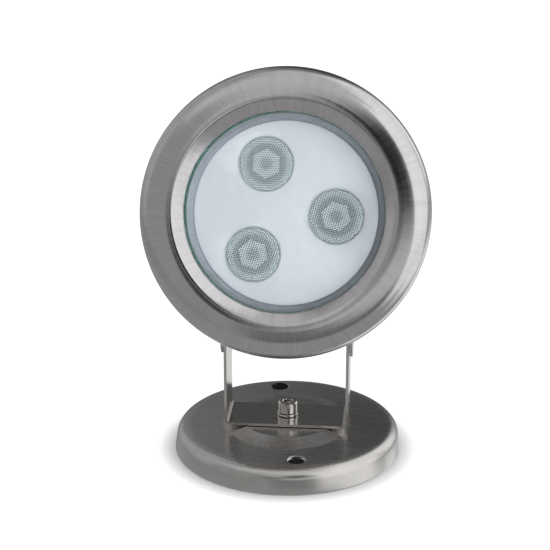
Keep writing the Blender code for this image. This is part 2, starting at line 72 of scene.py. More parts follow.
# M5 hardware and strips
M5_SHANK = 2.45 * MM
M5_CLEAR = 2.75 * MM
M5_WASHER = 4.6 * MM
M5_NUT_FLATS = 8 * MM
STRAP_WIDTH = 22 * MM
EAR_WIDTH = 20 * MM
EAR_DROP = 13.5 * MM
BEND = 2.6 * MM
STRIP_END = 0.02 * MM            # nearly sharp corners, which a bevel rounds afterwards

# Lamp head. The rolled rim is given as radius and depth in millimetres.
RING_RADIUS = 60.8 * MM
RING_ROLL = ((60.8, 9.6), (60.3, 6.8), (59.3, 4.7), (57.9, 3.2), (56.2, 2.08), (54.4, 1.28), (52.6, 0.8),
             (50.2, 0.32), (48.9, 0.1))
RING_CREST = 47.4 * MM
RING_CREASE = 3.3 * MM
RING_MOUTH = 41.8 * MM
GLASS_RADIUS = 43.6 * MM
GLASS_FRONT = 8.1 * MM
GLASS_BACK = 13.1 * MM
GASKET_LIP = 41.2 * MM
GASKET_RADIUS = 45.4 * MM
CAN_RADIUS = 42.4 * MM
CAN_FLANGE = 55 * MM
CAN_FRONT = 14.85 * MM
CAN_REAR = 58 * MM
PLATE_DEPTH = 17.5 * MM
PLATE_RADIUS = 38.5 * MM
RIM_DEPTH = 13.5 * MM
RIM_RADIUS = 41.05 * MM
LENS_RADIUS = 11.5 * MM
LENS_FRONT = 16 * MM
LENS_FACE = 17 * MM
LENS_REAR = 29.5 * MM
LENSLET_REACH = 11 * MM
LENSLET_PITCH = 1.05 * MM
LENSLET_RISE = 0.24 * MM
LENS_TURNS = (-5, -19, -19)       # degrees from the line to the lamp axis to each lens's hexagonal core
STUD_BORE = 1.8 * MM
GLAND_THREAD = 6 * MM
GLAND_BORE = 3.9 * MM
GLAND_INSIDE = 52.4 * MM
GLAND_COLLAR = CAN_REAR + 2 * MM
GLAND_SHOULDER = GLAND_COLLAR + 3 * MM
GLAND_THREAD_END = 69 * MM
SEAL_RADIUS = 5.8 * MM
SEAL_BORE = 3.6 * MM
SEAL_END = 73.2 * MM
GLAND_NUT = 9 * MM
GLAND_MOUTH = 4.5 * MM
GLAND_END = 75 * MM

# Levels of light: of the room around the soft boxes, on matt surfaces, and behind the floor's edge.
# Light through the front glass comes mostly from one side.
ROOM_LEVEL = 0.46
MATT_LEVEL = 0.95
BACKDROP_LEVEL = 1.3
LAMP_LIGHT = Vector((0.85, -0.5, -0.2)).normalized()
LAMP_LIGHT_LOW, LAMP_LIGHT_HIGH = 0.1, 8.0

# Camera
CAMERA_DISTANCE = 0.75
CAMERA_AZIMUTH = radians(4.82)
CAMERA_ELEVATION = radians(20.38)
CAMERA_LENS = 113.6
AIM_SIDE, AIM_HEIGHT = -5.7 * MM, 80.65 * MM

BODY = {node: body for body, nodes in frame["record"]["behaviour"]["bodies"].items() for node in nodes}


# ---------------------------------------------------------------- places read from the frame

def node_points(name):
    item = frame["nodes"][name]
    return [item.matrix_world @ vertex.co for vertex in item.data.vertices]


def middle(values):
    return (min(values) + max(values)) / 2


def lamp_frame():
    """Matrix of the lamp's own frame, from the gland's axis and the front ring's points."""
    mounts = {mount["name"]: mount for mount in frame["record"]["mounts"]}
    back = Vector(mounts["gland_end"]["axis"]).normalized()
    side = Vector((-1, 0, 0))
    up = back.cross(side)
    turn = Matrix((side, up, back)).transposed().to_4x4()
    points = [turn.inverted() @ point for point in node_points("front_ring")]
    origin = Vector((middle([p.x for p in points]), middle([p.y for p in points]),
                     min(p.z for p in points)))
    return turn @ Matrix.Translation(origin)


def local_centre(name, place):
    points = [place.inverted() @ point for point in node_points(name)]
    return Vector((middle([p.x for p in points]), middle([p.y for p in points]), 0))


def joint(name):
    found = [item for item in frame["record"]["behaviour"]["joints"] if item["name"] == name]
    return Vector(found[0]["pos_m"])


LAMP = lamp_frame()
PIVOT = joint("tilt")
TILT = asin(-LAMP.col[2].z)
HEAD_RISE = (LAMP.translation - PIVOT).dot(LAMP.col[1].to_3d())
BRACKET_LOW, BRACKET_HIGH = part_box("u_bracket")
BASE_PLACE = Matrix.Rotation(BASE_TURN, 4, "Z")
PIVOT_PLACE = Matrix.Translation(PIVOT) @ Matrix.Rotation(pi / 2 - TILT, 4, "X")


# ---------------------------------------------------------------- outlines

def rounded(path, closed=False, steps=5):
    """Round the corners of a path; a corner given as (x, y, r) gets the radius r."""
    points = []
    for index, corner in enumerate(path):
        here = Vector(corner[:2])
        if len(corner) == 2 or (not closed and index in (0, len(path) - 1)):
            points.append(here)
            continue
        back = (Vector(path[index - 1][:2]) - here).normalized()
        ahead = (Vector(path[(index + 1) % len(path)][:2]) - here).normalized()
        half = back.angle(ahead) / 2
        centre = here + (back + ahead).normalized() * corner[2] / sin(half)
        start = here + back * corner[2] / tan(half) - centre
        end = here + ahead * corner[2] / tan(half) - centre
        turns = [start.slerp(end, step / steps).normalized() for step in range(steps + 1)]
        points += [centre + turn * corner[2] for turn in turns]
    return points


def through(points, steps=6):
    """Smooth path (Catmull-Rom) through the points."""
    points = [Vector(point) for point in points]
    padded = [points[0] * 2 - points[1], *points, points[-1] * 2 - points[-2]]
    path = [points[0]]
    for a, b, c, d in zip(padded, padded[1:], padded[2:], padded[3:]):
        for step in range(1, steps + 1):
            t = step / steps
            path.append(0.5 * (2 * b + (c - a) * t + (2 * a - 5 * b + 4 * c - d) * t ** 2
                               + (3 * b - a - 3 * c + d) * t ** 3))
    return path


def sheet(path, thickness=SHEET, edge=EDGE):
    """Closed outline of a sheet on the path's right (a negative thickness: on its left)."""
    points = [Vector(point) for point in path]
    runs = [(after - before).normalized() for before, after in zip(points, points[1:])]
    normals = [Vector((run.y, -run.x)) for run in runs]
    back = [points[0] + normals[0] * thickness]
    for point, first, second in zip(points[1:-1], normals, normals[1:]):
        mitre = first + second
        back.append(point + mitre * thickness * 2 / mitre.length_squared)
    back.append(points[-1] + normals[-1] * thickness)
    ends = {0, len(points) - 1, len(points), 2 * len(points) - 1}
    outline = [(*point, edge) if index in ends else tuple(point)
               for index, point in enumerate(points + back[::-1])]
    return rounded(outline, closed=True, steps=3)


def polygon(radius, sides, turn=0.0):
    step = 2 * pi / sides
    return [(radius * cos(turn + step * side), radius * sin(turn + step * side)) for side in range(sides)]


def hexagon(flats, turn=0.0):
    return polygon(flats / sqrt(3), 6, turn)


# ---------------------------------------------------------------- meshes

def lathe(outline, sides=ROUND):
    """Turn an outline of (radius, height) points about Z."""
    bm = bmesh.new()
    outline = [tuple(point) for point in outline]
    poles = {index: bm.verts.new((0, 0, height)) for index, (radius, height) in enumerate(outline)
             if radius < 1e-9}
    columns = [[poles.get(index) or bm.verts.new((radius * x, radius * y, height))
                for index, (radius, height) in enumerate(outline)] for x, y in polygon(1, sides)]
    for first, second in zip(columns, columns[1:] + columns[:1]):
        for here in range(len(outline)):
            ahead = (here + 1) % len(outline)
            corners = list(dict.fromkeys((first[here], second[here], second[ahead], first[ahead])))
            if len(corners) > 2:
                bm.faces.new(corners)
    return bm


def prism(outline, low, high):
    bm = bmesh.new()
    face = bm.faces.new([bm.verts.new((x, y, low)) for x, y in outline])
    grown = bmesh.ops.extrude_face_region(bm, geom=[face])
    moved = [item for item in grown["geom"] if isinstance(item, bmesh.types.BMVert)]
    bmesh.ops.translate(bm, verts=moved, vec=(0, 0, high - low))
    return bm


def shape(name, bm, place=Matrix()):
    bmesh.ops.recalc_face_normals(bm, faces=bm.faces)
    mesh = bpy.data.meshes.new(name)
    bm.to_mesh(mesh)
    bm.free()
    made = bpy.data.objects.new(name, mesh)
    made.matrix_world = place
    bpy.context.scene.collection.objects.link(made)
    return made


def carve(made, tool, operation="DIFFERENCE"):
    """Cut the tool out of the piece for good, and remove the tool."""
    modifier = made.modifiers.new("cut", "BOOLEAN")
    modifier.operation = operation
    modifier.object = tool
    graph = bpy.context.evaluated_depsgraph_get()
    made.data = bpy.data.meshes.new_from_object(made.evaluated_get(graph))
    made.modifiers.clear()
    bpy.data.objects.remove(tool)


def hole(made, radius, low, high, place, flare=0.0, sides=MEDIUM):
    """Round hole whose mouth at z = high is rounded outwards by flare."""
    rise = [(radius + flare * (1 - cos(radians(turn))), high - flare * (1 - sin(radians(turn))))
            for turn in range(0, 91, 15)] if flare else [(radius, high)]
    outline = [(0, low), (radius, low), *rise, (rise[-1][0], high + MM), (0, high + MM)]
    carve(made, shape("tool", lathe(outline, sides), place))


def finish_piece(made, look, nodes, bevel=0.0, angle=35):
    """Give a piece its material and smooth shading, and put it in its CAD nodes' place."""
    made.data.materials.clear()
    made.data.materials.append(look)
    made.data.shade_smooth()
    made.data.set_sharp_from_angle(angle=radians(angle))
    if bevel:
        modifier = made.modifiers.new("edges", "BEVEL")
        modifier.width = bevel
        modifier.segments = 3
        modifier.limit_method = "ANGLE"
        modifier.angle_limit = radians(angle)
        modifier.harden_normals = True
    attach(made, BODY[nodes[0]])
    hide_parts(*nodes)
    return made


def turned(name, outline, look, nodes, place=LAMP, sides=ROUND, bevel=0.0):
    return finish_piece(shape(name, lathe(outline, sides), place), look, nodes, bevel)


# ---------------------------------------------------------------- node materials

def node(tree, kind, inputs=(), **settings):
    """Add a shader node; inputs are (socket, value or output) pairs."""
    made = tree.nodes.new(kind)
    for key, value in settings.items():
        setattr(made, key, value)
    for socket, value in inputs:
        if isinstance(value, bpy.types.NodeSocket):
            tree.links.new(value, made.inputs[socket])
        else:
            made.inputs[socket].default_value = value
    return made


def math(tree, operation, *values, **settings):
    return node(tree, "ShaderNodeMath", list(enumerate(values)), operation=operation, **settings).outputs[0]


def surface(name, colour, roughness, metallic=0.0, **sockets):
    made = bpy.data.materials.new(name)
    made.use_nodes = True
    shader = made.node_tree.nodes["Principled BSDF"]
    values = {"Base Color": (*colour, 1), "Roughness": roughness, "Metallic": metallic, **sockets}
    for socket, value in values.items():
        shader.inputs[socket].default_value = value
    return made, made.node_tree, shader


def noise(tree, vector, scale, detail=2.0, roughness=0.5):
    return node(tree, "ShaderNodeTexNoise", [("Vector", vector), ("Scale", scale), ("Detail", detail),
                                             ("Roughness", roughness)]).outputs["Fac"]


def mix_colour(tree, factor, low, high):
    ramp = node(tree, "ShaderNodeMix", [("Factor", factor)], data_type="RGBA")
    for socket, colour in (("A", low), ("B", high)):
        matching = [item for item in ramp.inputs if item.name == socket and item.type == "RGBA"]
        matching[0].default_value = (*colour, 1)
    return [item for item in ramp.outputs if item.type == "RGBA"][0]


def spread(tree, value, low, high, start=0.3, end=0.7):
    """Map a noise value from start..end to low..high."""
    return node(tree, "ShaderNodeMapRange", [("Value", value), ("From Min", start), ("From Max", end),
                                             ("To Min", low), ("To Max", high)]).outputs[0]


def bump(tree, shader, height, distance, strength):
    made = node(tree, "ShaderNodeBump",
                [("Height", height), ("Distance", distance), ("Strength", strength)])
    tree.links.new(made.outputs[0], shader.inputs["Normal"])


def tinted(tree, shader, tone, colour, contrast):
    """Vary the base colour evenly about the given one by a tone from 0 to 1."""
    dark = [value * (1 - contrast) for value in colour]
    light = [min(value * (1 + contrast), 1) for value in colour]
    tree.links.new(mix_colour(tree, tone, dark, light), shader.inputs["Base Color"])


def brushed(name, colour, roughness, around, width, length, contrast=0.07):
    """Brushed stainless: fine streaks, straight out from the axis or along the local X."""
    made, tree, shader = surface(name, colour, roughness, 1.0)
    place = node(tree, "ShaderNodeTexCoord").outputs["Object"]
    parts = node(tree, "ShaderNodeSeparateXYZ", [("Vector", place)]).outputs
    if around:
        squares = math(tree, "ADD", math(tree, "POWER", parts[0], 2.0), math(tree, "POWER", parts[1], 2.0))
        reach = math(tree, "SQRT", squares)
        across = [math(tree, "MULTIPLY", math(tree, "DIVIDE", parts[axis], reach), around / width)
                  for axis in (0, 1)]
        along = math(tree, "MULTIPLY", math(tree, "SUBTRACT", reach, parts[2]), 1 / length)
    else:
        across = [math(tree, "MULTIPLY", parts[axis], 1 / width) for axis in (1, 2)]
        along = math(tree, "MULTIPLY", parts[0], 1 / length)
    vector = node(tree, "ShaderNodeCombineXYZ", [(0, across[0]), (1, across[1]), (2, along)]).outputs[0]
    streak = noise(tree, vector, 1.0, 3.0, 0.6)
    broad = noise(tree, vector, 0.16, 2.0)
    tone = math(tree, "ADD", math(tree, "MULTIPLY", streak, 0.6), math(tree, "MULTIPLY", broad, 0.4))
    tinted(tree, shader, spread(tree, tone, 0, 1, 0.35, 0.65), colour, contrast)
    tree.links.new(spread(tree, streak, roughness - 0.03, roughness + 0.04), shader.inputs["Roughness"])
    bump(tree, shader, streak, 0.003 * MM, 0.3)
    return made


def grained(name, colour, roughness, grain, depth, metallic=0.0, contrast=0.12, **sockets):
    """Plain surface with a fine uneven grain in tone, gloss and height."""
    made, tree, shader = surface(name, colour, roughness, metallic, **sockets)
    place = node(tree, "ShaderNodeTexCoord").outputs["Object"]
    fine = noise(tree, place, 1 / grain, 3.0)
    broad = noise(tree, place, 0.12 / grain, 2.0)
    tinted(tree, shader, spread(tree, broad, 0, 1), colour, contrast)
    low, high = max(roughness - 0.06, 0.02), roughness + 0.06
    tree.links.new(spread(tree, fine, low, high), shader.inputs["Roughness"])
    bump(tree, shader, fine, depth, 0.5)
    return made


def paint_shade_inside(material):
    """Darken the faces turned towards the piece's own origin: painted shade on the inside of a cover."""
    tree = material.node_tree
    shader = tree.nodes["Principled BSDF"]
    place = node(tree, "ShaderNodeTexCoord").outputs
    facing = node(tree, "ShaderNodeVectorMath", [(0, place["Object"]), (1, place["Normal"])],
                  operation="DOT_PRODUCT").outputs["Value"]
    outside = math(tree, "GREATER_THAN", facing, 0.0)
    colour = shader.inputs["Base Color"].links[0].from_socket
    shade = node(tree, "ShaderNodeVectorMath", [(0, colour)], operation="SCALE")
    tree.links.new(spread(tree, outside, 0.04, 1.0, 0.0, 1.0), shade.inputs["Scale"])
    tree.links.new(shade.outputs[0], shader.inputs["Base Color"])


def lenslet_painted_look():
    """Moulded lens face whose painted light and shade is stored on the mesh as a tone: dark at 0, pale at
    1.
    """
    made, tree, shader = surface("lens_array_painted_light", (0.5, 0.58, 0.58), 0.16, 0.35, IOR=1.49,
                                 **{"Coat Weight": 0.25, "Coat Roughness": 0.08})
    tone = node(tree, "ShaderNodeAttribute", attribute_name="tone").outputs["Fac"]
    colour = mix_colour(tree, tone, (0.012, 0.03, 0.038), (0.58, 0.69, 0.73))
    tree.links.new(colour, shader.inputs["Base Color"])
    return made


STEEL_COLOUR = (0.60, 0.585, 0.57)
RING_STEEL = brushed("ring_steel", (0.60, 0.585, 0.595), 0.15, 53 * MM, 0.32 * MM, 5 * MM)
BASE_STEEL = brushed("base_steel", STEEL_COLOUR, 0.26, 0, 0.3 * MM, 9 * MM)
# Painted shade: the faces inside the base cover are darkened almost to black.
paint_shade_inside(BASE_STEEL)
STRIP_STEEL = brushed("strip_steel", (0.62, 0.60, 0.58), 0.2, 0, 0.25 * MM, 8 * MM, 0.1)
CAN_STEEL = brushed("can_steel", STEEL_COLOUR, 0.3, 0, 0.3 * MM, 6 * MM)
BOLT = grained("bolt_steel", (0.72, 0.71, 0.69), 0.14, 0.6 * MM, 0.01 * MM, 1.0, 0.06)
RUBBER = grained("black_rubber", (0.03, 0.03, 0.032), 0.55, 0.4 * MM, 0.03 * MM)
SILICONE = grained("pale_silicone", (0.60, 0.67, 0.67), 0.35, 0.4 * MM, 0.01 * MM)
SATIN = grained("satin_plate", (0.67, 0.70, 0.765), 0.38, 0.5 * MM, 0.006 * MM, 0.25, 0.02)
# A darker copy of the plate's satin: painted shade on the plate's sloped rim inside the lamp.
PLATE_RIM_SHADED = grained("plate_rim_painted_shade", (0.27, 0.31, 0.36), 0.2, 0.5 * MM, 0.006 * MM, 0.3)
WHITE_PLASTIC = grained("white_plastic", (0.72, 0.74, 0.74), 0.4, 0.4 * MM, 0.01 * MM)
ALUMINIUM = grained("bare_aluminium", (0.74, 0.74, 0.75), 0.36, 0.5 * MM, 0.02 * MM, 1.0)
BRASS = grained("brass", (0.72, 0.55, 0.27), 0.28, 0.5 * MM, 0.01 * MM, 1.0)
BLACK_PLASTIC = grained("black_plastic", (0.035, 0.035, 0.035), 0.45, 0.4 * MM, 0.02 * MM)
BOARD = grained("board_green", (0.03, 0.2, 0.09), 0.35, 0.8 * MM, 0.01 * MM, 0.0, 0.2)
PHOSPHOR = grained("led_phosphor", (0.85, 0.7, 0.16), 0.3, 0.3 * MM, 0.01 * MM)
FERRITE = grained("coil_ferrite", (0.1, 0.1, 0.105), 0.6, 0.4 * MM, 0.05 * MM)
SLEEVE = grained("capacitor_sleeve", (0.04, 0.05, 0.2), 0.3, 0.8 * MM, 0.01 * MM)
WIRE_RED = grained("wire_red", (0.6, 0.03, 0.02), 0.35, 0.4 * MM, 0.01 * MM)
WIRE_BLACK = grained("wire_black", (0.025, 0.025, 0.025), 0.35, 0.4 * MM, 0.01 * MM)
GLASS = surface("tempered_glass", (0.965, 0.985, 0.985), 0.0, 0.0,
                **{"Transmission Weight": 1.0, "IOR": 1.5})[0]
GLASS_EDGE = surface("glass_edge", (0.03, 0.13, 0.11), 0.18, 0.0, IOR=1.5)[0]
ACRYLIC = surface("lens_acrylic", (0.66, 0.78, 0.78), 0.06, 0.0,
                  **{"Transmission Weight": 0.35, "IOR": 1.49})[0]
PAINTED_LENSLETS = lenslet_painted_look()


# ---------------------------------------------------------------- base and bracket

def build_base():
    path = rounded([(M5_CLEAR, BOSS_HEIGHT), (BOSS_RADIUS, BOSS_HEIGHT, 0.9 * MM),
                    (BOSS_FOOT - 0.6 * MM, DECK_HEIGHT + 0.2 * MM, 1.4 * MM), (BOSS_FOOT + MM, DECK_HEIGHT),
                    (DECK_EDGE, DECK_HEIGHT), (48.8 * MM, SHOULDER_HEIGHT, 5 * MM),
                    (BASE_RADIUS, 0.8 * MM), (BASE_RADIUS, 0)], steps=12)
    cover = shape("base_cover_fine", lathe(sheet(path)), BASE_PLACE)
    for angle in (pi / 2, -pi / 2):
        spot = Matrix.Rotation(angle, 4, "Z") @ Matrix.Translation((FIXING_RADIUS, 0, 0))
        hole(cover, FIXING_HOLE, 0, DECK_HEIGHT, BASE_PLACE @ spot, flare=0.35 * MM)
    finish_piece(cover, BASE_STEEL, ["base_cover"])


def build_bracket():
    half, floor = BRACKET_HIGH.x, BRACKET_LOW.z
    path = rounded([(half, BRACKET_HIGH.z), (half, floor, BEND), (-half, floor, BEND),
                    (-half, BRACKET_HIGH.z)], steps=10)
    stand_up = Matrix.Rotation(pi / 2, 4, "X")
    strip = shape("u_bracket_fine", prism(sheet(path, edge=STRIP_END), -STRAP_WIDTH, STRAP_WIDTH), stand_up)
    tip = [(x, PIVOT.z + y) for x, y in polygon(STRAP_WIDTH / 2, MEDIUM)[:MEDIUM // 2 + 1]]
    side_view = prism([(-STRAP_WIDTH / 2, 0), (STRAP_WIDTH / 2, 0), *tip], -2 * half, 2 * half)
    carve(strip, shape("tool", side_view, Matrix.Rotation(pi / 2, 4, "Z") @ stand_up), "INTERSECT")
    hole(strip, M5_CLEAR, 0, 30 * MM, Matrix(), sides=FINE)
    sideways = Matrix.Translation(PIVOT) @ Matrix.Rotation(pi / 2, 4, "Y")
    hole(strip, M5_CLEAR, -2 * half, 2 * half, sideways, sides=FINE)
    finish_piece(strip, STRIP_STEEL, ["u_bracket"], bevel=EDGE)


def socket_screw(name, node_name, place, seat, tip, top, radius, shank, flats, depth):
    """Screw with a round head and a hexagonal socket; a dome where the head is low."""
    chamfer = 0.5 * MM
    if top - seat < 3 * MM:
        crown = [(radius, seat + 0.6 * MM), (radius * 0.86, seat + (top - seat) * 0.72, 1.5 * MM),
                 (radius * 0.5, top, MM)]
    else:
        crown = [(radius, top - chamfer, 0.15 * MM), (radius - chamfer, top, 0.15 * MM)]
    outline = [(0, tip), (shank - chamfer, tip), (shank, tip + chamfer)]
    pitch = 0.8 * MM * shank / M5_SHANK
    height = tip + 0.8 * MM
    while height < seat - pitch:
        outline += [(shank, height), (shank - 0.25 * MM, height + pitch / 2)]
        height += pitch
    outline += [(shank, height), (shank, seat), (radius - EDGE, seat), (radius, seat + EDGE), *crown,
                (0, top)]
    screw = shape(name, lathe(rounded(outline), MEDIUM), place)
    carve(screw, shape("tool", prism(hexagon(flats, pi / 6), top - depth, top + MM), place))
    low, high = top - 0.14 * flats, top + 0.04 * flats
    funnel = [(0, low), (0.48 * flats, low), (0.66 * flats, high), (0, high)]
    carve(screw, shape("tool", lathe(funnel, MEDIUM), place))
    finish_piece(screw, BOLT, [node_name], bevel=0.08 * MM)


def split_washer(name, node_name, place, low, high, inner, outer):
    """Spring washer: a slightly open ring whose cut ends don't meet."""
    bm = bmesh.new()
    section = rounded([(inner, low, EDGE), (outer, low, EDGE), (outer, high, EDGE), (inner, high, EDGE)],
                      closed=True, steps=3)
    turns = [radians(5 + 350 * step / MEDIUM) for step in range(MEDIUM + 1)]
    rings = [[bm.verts.new((r * cos(turn), r * sin(turn), z)) for r, z in section] for turn in turns]
    for first, second in zip(rings, rings[1:]):
        for here in range(len(section)):
            ahead = (here + 1) % len(section)
            bm.faces.new((first[here], second[here], second[ahead], first[ahead]))
    bm.faces.new(rings[0])
    bm.faces.new(rings[-1])
    finish_piece(shape(name, bm, place), BOLT, [node_name])


def hex_nut(name, node_name, place, flats, low, high, bore):
    """Hexagon nut with its corners chamfered by a cone at both ends."""
    nut = shape(name, prism(hexagon(flats), low, high), place)
    corner, chamfer = flats / sqrt(3), 0.35 * MM
    inside = flats / 2
    cone = [(0, low), (inside, low), (corner + 0.05 * MM, low + chamfer),
            (corner + 0.05 * MM, high - chamfer), (inside, high), (0, high)]
    carve(nut, shape("tool", lathe(cone, MEDIUM), place), "INTERSECT")
    hole(nut, bore, low - MM, high, place, flare=0.3 * MM, sides=FINE)
    finish_piece(nut, BOLT, [node_name], bevel=0.06 * MM)


def along(name, place):
    """Lowest and highest reach of a CAD node along the local Z of a place."""
    heights = [(place.inverted() @ point).z for point in node_points(name)]
    return min(heights), max(heights)


def build_hardware():
    tip, top = along("swivel_screw", Matrix())
    seat = along("swivel_lock_washer", Matrix())[1] + GAP
    socket_screw("swivel_screw_fine", "swivel_screw", Matrix(), seat, tip, top, 4.25 * MM, M5_SHANK,
                 4 * MM, 2.5 * MM)
    split_washer("swivel_lock_washer_fine", "swivel_lock_washer", Matrix(),
                 *along("swivel_lock_washer", Matrix()), M5_CLEAR, M5_WASHER)
    hex_nut("swivel_nut_fine", "swivel_nut", Matrix(), M5_NUT_FLATS, *along("swivel_nut", Matrix()),
            M5_CLEAR)
    for side, name in ((-1, "left"), (1, "right")):
        place = Matrix.Translation(PIVOT) @ Matrix.Rotation(side * pi / 2, 4, "Y")
        washer = along(f"pivot_washer_{name}", place)
        split_washer(f"pivot_washer_{name}_fine", f"pivot_washer_{name}", place, *washer, M5_CLEAR,
                     M5_WASHER)
        tip, top = along(f"pivot_screw_{name}", place)
        socket_screw(f"pivot_screw_{name}_fine", f"pivot_screw_{name}", place, washer[1] + GAP, tip, top,
                     4.5 * MM, M5_SHANK, 3 * MM, 1.6 * MM)
        hex_nut(f"pivot_nut_{name}_fine", f"pivot_nut_{name}", place, M5_NUT_FLATS,
                *along(f"pivot_nut_{name}", place), M5_CLEAR)
    for index in (1, 2, 3):
        name = f"ring_screw_{index}"
        place = LAMP @ Matrix.Translation(local_centre(name, LAMP))
        tip, top = along(name, place)
        seat = CAN_FRONT + SHEET + GAP
        socket_screw(f"{name}_fine", name, place, seat, tip, top, 2.75 * MM, 1.5 * MM, 2 * MM, 1.1 * MM)


# ---------------------------------------------------------------- lamp head

def build_ring():
    roll = [(radius * MM, depth * MM) for radius, depth in RING_ROLL]
    crease = [(RING_CREST - RING_CREASE * sin(radians(turn)), RING_CREASE * (1 - cos(radians(turn))))
              for turn in range(0, 41, 8)]
    face = through([(RING_RADIUS, 16 * MM), (RING_RADIUS, 12 * MM), *roll, *crease], steps=4)
    lip = rounded([face[-1], (RING_MOUTH, 3.75 * MM, 0.6 * MM), (RING_MOUTH, 7 * MM)])
    turned("front_ring_fine", sheet(face + lip[1:], edge=0.3 * MM), RING_STEEL,
           ["front_ring"])


def build_glass():
    bevel = 0.5 * MM
    outline = rounded([(0, GLASS_FRONT), (GLASS_RADIUS - bevel, GLASS_FRONT, 0.2 * MM),
                       (GLASS_RADIUS, GLASS_FRONT + bevel), (GLASS_RADIUS, GLASS_BACK - bevel),
                       (GLASS_RADIUS - bevel, GLASS_BACK, 0.2 * MM), (0, GLASS_BACK)])
    turned("front_glass_fine", outline, GLASS, ["front_glass"])
    inside, seam = GLASS_RADIUS + GAP, 43.3 * MM
    gasket = rounded([(seam, 4.5 * MM), (GASKET_RADIUS, 2.75 * MM, EDGE),
                      (GASKET_RADIUS, CAN_FRONT - GAP, EDGE), (GASKET_LIP, CAN_FRONT - GAP, 0.2 * MM),
                      (GASKET_LIP, GLASS_BACK + GAP, 0.2 * MM), (inside, GLASS_BACK + GAP),
                      (inside, GLASS_FRONT - GAP), (seam, GLASS_FRONT - GAP)], closed=True)
    # The green of the thick glass's edge, as a thin ring in the gap between glass and gasket
    near, far = GLASS_BACK + 0.03 * MM, GLASS_BACK + 0.15 * MM
    hem, border = 41.15 * MM, 43.4 * MM
    tint = rounded([(hem, near), (border, near), (border, far), (hem, far)])
    turned("front_glass_edge", tint, GLASS_EDGE, ["front_glass"])
    turned("glass_gasket_fine", gasket, SILICONE, ["glass_gasket"])


def build_can():
    path = rounded([(CAN_FLANGE, CAN_FRONT + SHEET), (CAN_RADIUS, CAN_FRONT + SHEET, 1.5 * MM),
                    (CAN_RADIUS, CAN_REAR, 4 * MM), (GLAND_THREAD + GAP, CAN_REAR)], steps=8)
    can = shape("lamp_can_fine", lathe(sheet(path, -SHEET)), LAMP)
    for index in (1, 2, 3):
        spot = Matrix.Translation(local_centre(f"ring_stud_{index}", LAMP))
        hole(can, STUD_BORE, CAN_FRONT - MM, CAN_FRONT + 3 * MM, LAMP @ spot, sides=FINE)
    finish_piece(can, CAN_STEEL, ["lamp_can"])


def build_ears():
    """Strips welded to the can that hang down outside the bracket's arms."""
    outside = BRACKET_HIGH.x + GAP + SHEET
    wall = CAN_RADIUS + GAP + SHEET
    leave, foot_end, steps = asin(outside / wall), radians(60), 16
    turns = [leave + (foot_end - leave) * step / steps for step in range(1, steps + 1)]
    foot = [Vector((wall * sin(turn), HEAD_RISE - wall * cos(turn))) for turn in turns]
    knee = (outside, HEAD_RISE - wall * cos(leave), 1.5 * MM)
    path = rounded([(outside, -2 * EAR_DROP), knee, foot[0]], steps=8) + foot[1:]
    section = sheet(path, -SHEET, edge=STRIP_END)
    end = [(x, y + EAR_WIDTH / 2 - EAR_DROP)
           for x, y in polygon(EAR_WIDTH / 2, MEDIUM, pi)[:MEDIUM // 2 + 1]]
    side_view = [*end, (EAR_WIDTH / 2, HEAD_RISE), (-EAR_WIDTH / 2, HEAD_RISE)]
    across = PIVOT_PLACE @ Matrix.Rotation(pi / 2, 4, "Y")
    beyond = 80 * MM
    for side, name in ((-1, "left"), (1, "right")):
        outline = [(side * x, y) for x, y in section]
        ear = shape(f"ear_{name}_fine", prism(outline, -EAR_WIDTH, EAR_WIDTH), PIVOT_PLACE)
        carve(ear, shape("tool", prism(side_view, -beyond, beyond), across), "INTERSECT")
        hole(ear, M5_CLEAR, -beyond, beyond, across, sides=FINE)
        finish_piece(ear, STRIP_STEEL, [f"ear_{name}"], bevel=EDGE)


def build_plate():
    back = PLATE_DEPTH + MM
    face = rounded([(0, PLATE_DEPTH), (PLATE_RADIUS, PLATE_DEPTH, EDGE), (PLATE_RADIUS, back, EDGE),
                    (0, back)])
    plate = shape("baffle_plate_fine", lathe(face), LAMP)
    for index in (1, 2, 3):
        turn = Matrix.Rotation(pi, 4, "X")
        place = LAMP @ Matrix.Translation(local_centre(f"lens_{index}", LAMP)) @ turn
        hole(plate, LENS_RADIUS + 0.06 * MM, -PLATE_DEPTH - 3 * MM, -PLATE_DEPTH, place, flare=0.2 * MM)
    finish_piece(plate, SATIN, ["baffle_plate"])
    foot = PLATE_RADIUS + 0.05 * MM
    rim = rounded([(foot, PLATE_DEPTH), (RIM_RADIUS - 0.15 * MM, RIM_DEPTH, 0.3 * MM),
                   (RIM_RADIUS, RIM_DEPTH), (RIM_RADIUS, RIM_DEPTH + 1.5 * MM), (39.4 * MM, back),
                   (foot, back)], closed=True)
    # The rim is darker than the plate by painted shade.
    turned("baffle_rim", rim, PLATE_RIM_SHADED, ["baffle_plate"])


def hexagon_reach(x, y):
    return max(abs(x * cos(turn) + y * sin(turn)) for turn in (0, pi / 3, 2 * pi / 3))


def smooth(value, low, high):
    t = min(max((value - low) / (high - low), 0), 1)
    return t * t * (3 - 2 * t)


def lens_painted_light(x, y):
    """Painted light and shade of the clear collimator behind the lenslets: how bright it looks through
    them, and how strongly each lenslet shows.

    The painted pattern has a dark core, a bright hexagonal ring with a sharp outer edge, a darker ring and
    a pale rim, in place of what the optic shows by refraction.
    """
    reach = hexagon_reach(x, y) / MM
    radius = sqrt(x * x + y * y) / MM
    bright = 0.3 + 0.7 * smooth(reach, 1.8, 3.2) - 0.8 * smooth(reach, 5.2, 5.7)
    bright += 0.8 * smooth(radius, 7.6, 9.6)
    for place, depth, width in ((5.2, 0.8, 0.4), (5.9, -0.6, 0.4), (9.6, -0.6, 0.3), (3.7, 0.3, 0.3)):
        bright += depth * max(0, 1 - abs(reach - place) / width)
    return min(max(bright, 0), 1)


